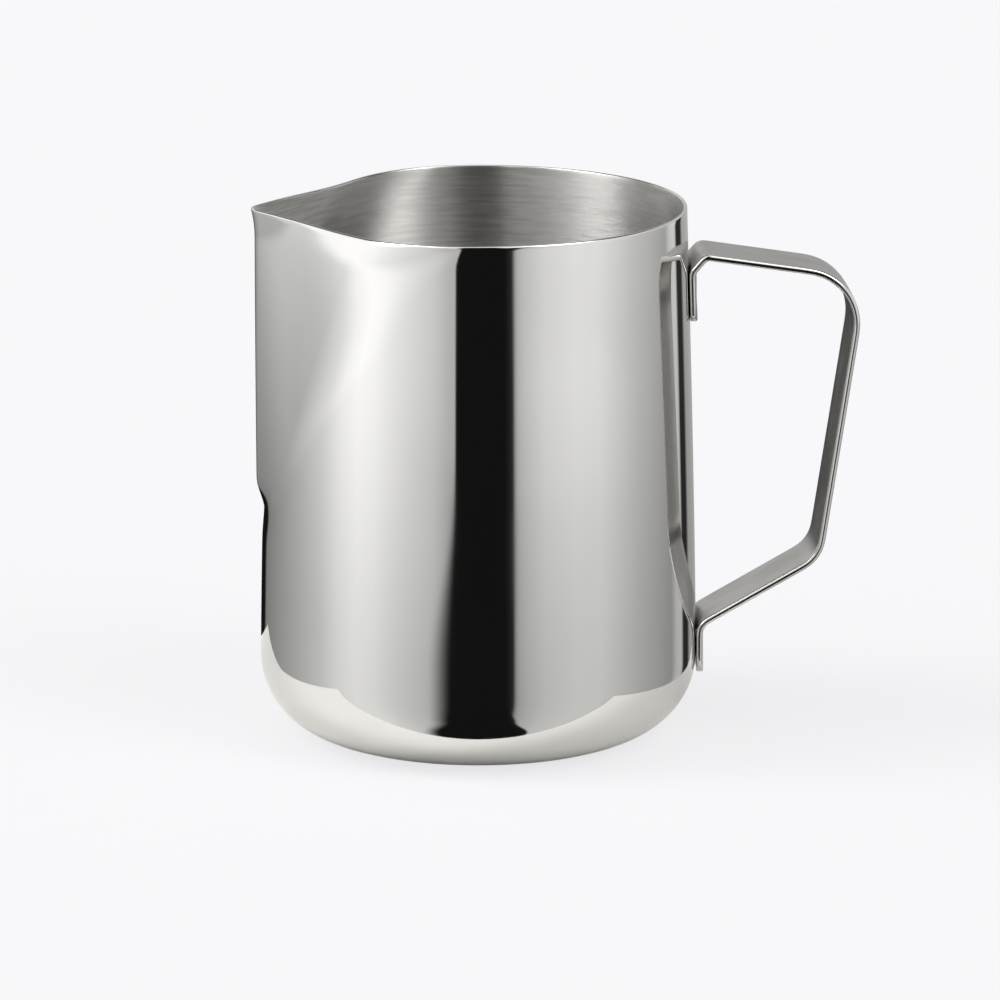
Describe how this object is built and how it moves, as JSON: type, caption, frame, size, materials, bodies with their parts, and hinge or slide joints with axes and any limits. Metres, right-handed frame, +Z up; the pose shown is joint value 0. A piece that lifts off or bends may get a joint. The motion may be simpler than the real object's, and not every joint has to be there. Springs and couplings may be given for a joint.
{
  "type": "milk frothing pitcher",
  "caption": "Stainless steel milk frothing pitcher: tapered mirror-polished body with a pressed V spout, brushed inside, and a bent strip handle spot-welded to it.",
  "frame": {"origin": "centre of the base on the body's axis, in the plane that the pitcher stands on", "axes": "+X from the axis towards the handle, so the spout points along -X; +Z up along the body's axis; +Y completes the right-handed frame, and y = 0 is the mirror plane"},
  "size_m": [0.1243, 0.09, 0.11],
  "materials": {
    "polished_steel": "mirror polish outside, fine turned brushing inside",
    "satin_steel": "satin",
    "weld_steel": "fused spot weld"
  },
  "bodies": {
    "root": {"pitcher_body": "polished_steel", "handle": "satin_steel", "upper_foot_welds": "weld_steel", "lower_foot_welds": "weld_steel"}
  },
  "joints": []
}
